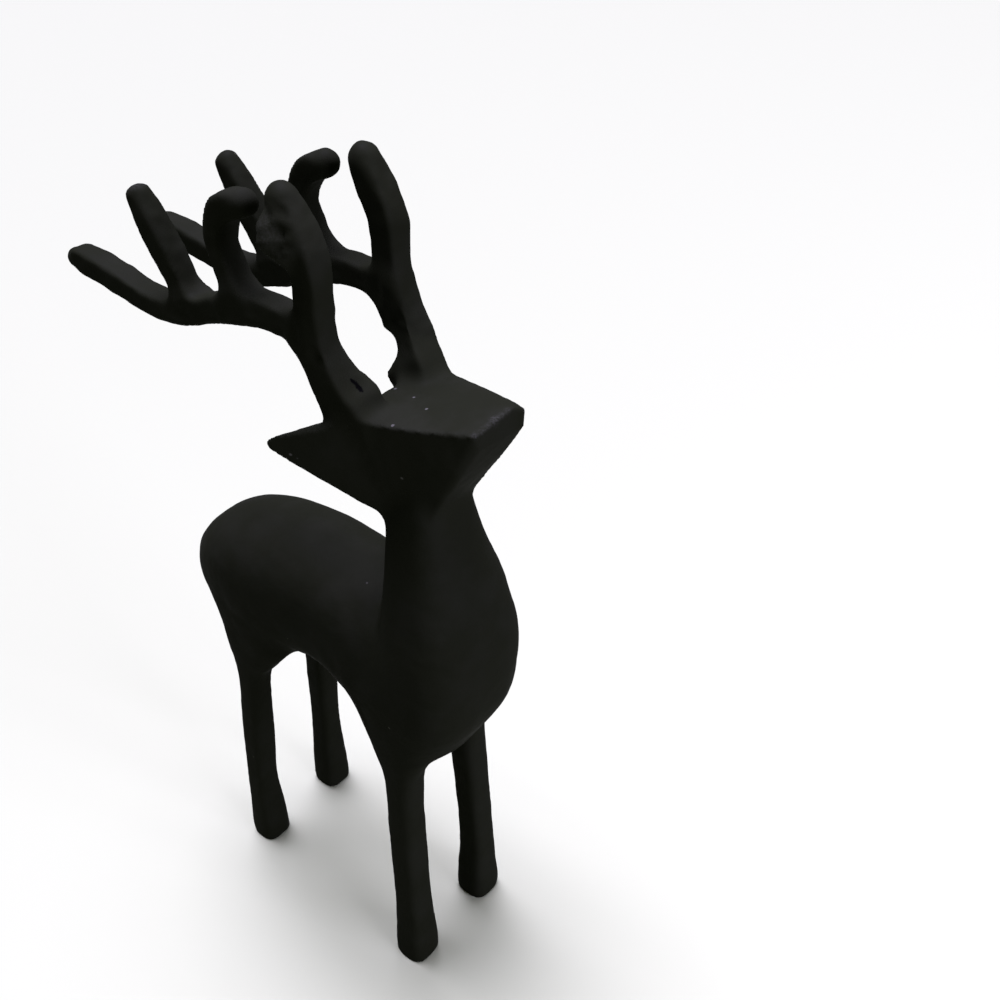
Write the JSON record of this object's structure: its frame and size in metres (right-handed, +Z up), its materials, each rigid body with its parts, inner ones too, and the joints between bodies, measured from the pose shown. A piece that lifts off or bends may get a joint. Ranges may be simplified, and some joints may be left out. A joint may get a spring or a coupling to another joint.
{
  "type": "cast iron stag statue",
  "caption": "Small standing stag cast in matte black iron, with squared legs, a flat-topped wedge head and branched antlers swept back; stands free on its feet as an ornament.",
  "frame": {"origin": "on the ground, below the middle of the stag's outer box", "axes": "+X towards the nose, +Y to the stag's left, +Z up"},
  "size_m": [0.1212, 0.042, 0.2303],
  "materials": {
    "black_iron": "matte black, sand-cast skin with small pits and pale specks"
  },
  "bodies": {
    "root": {"stag": "black_iron"}
  },
  "joints": []
}
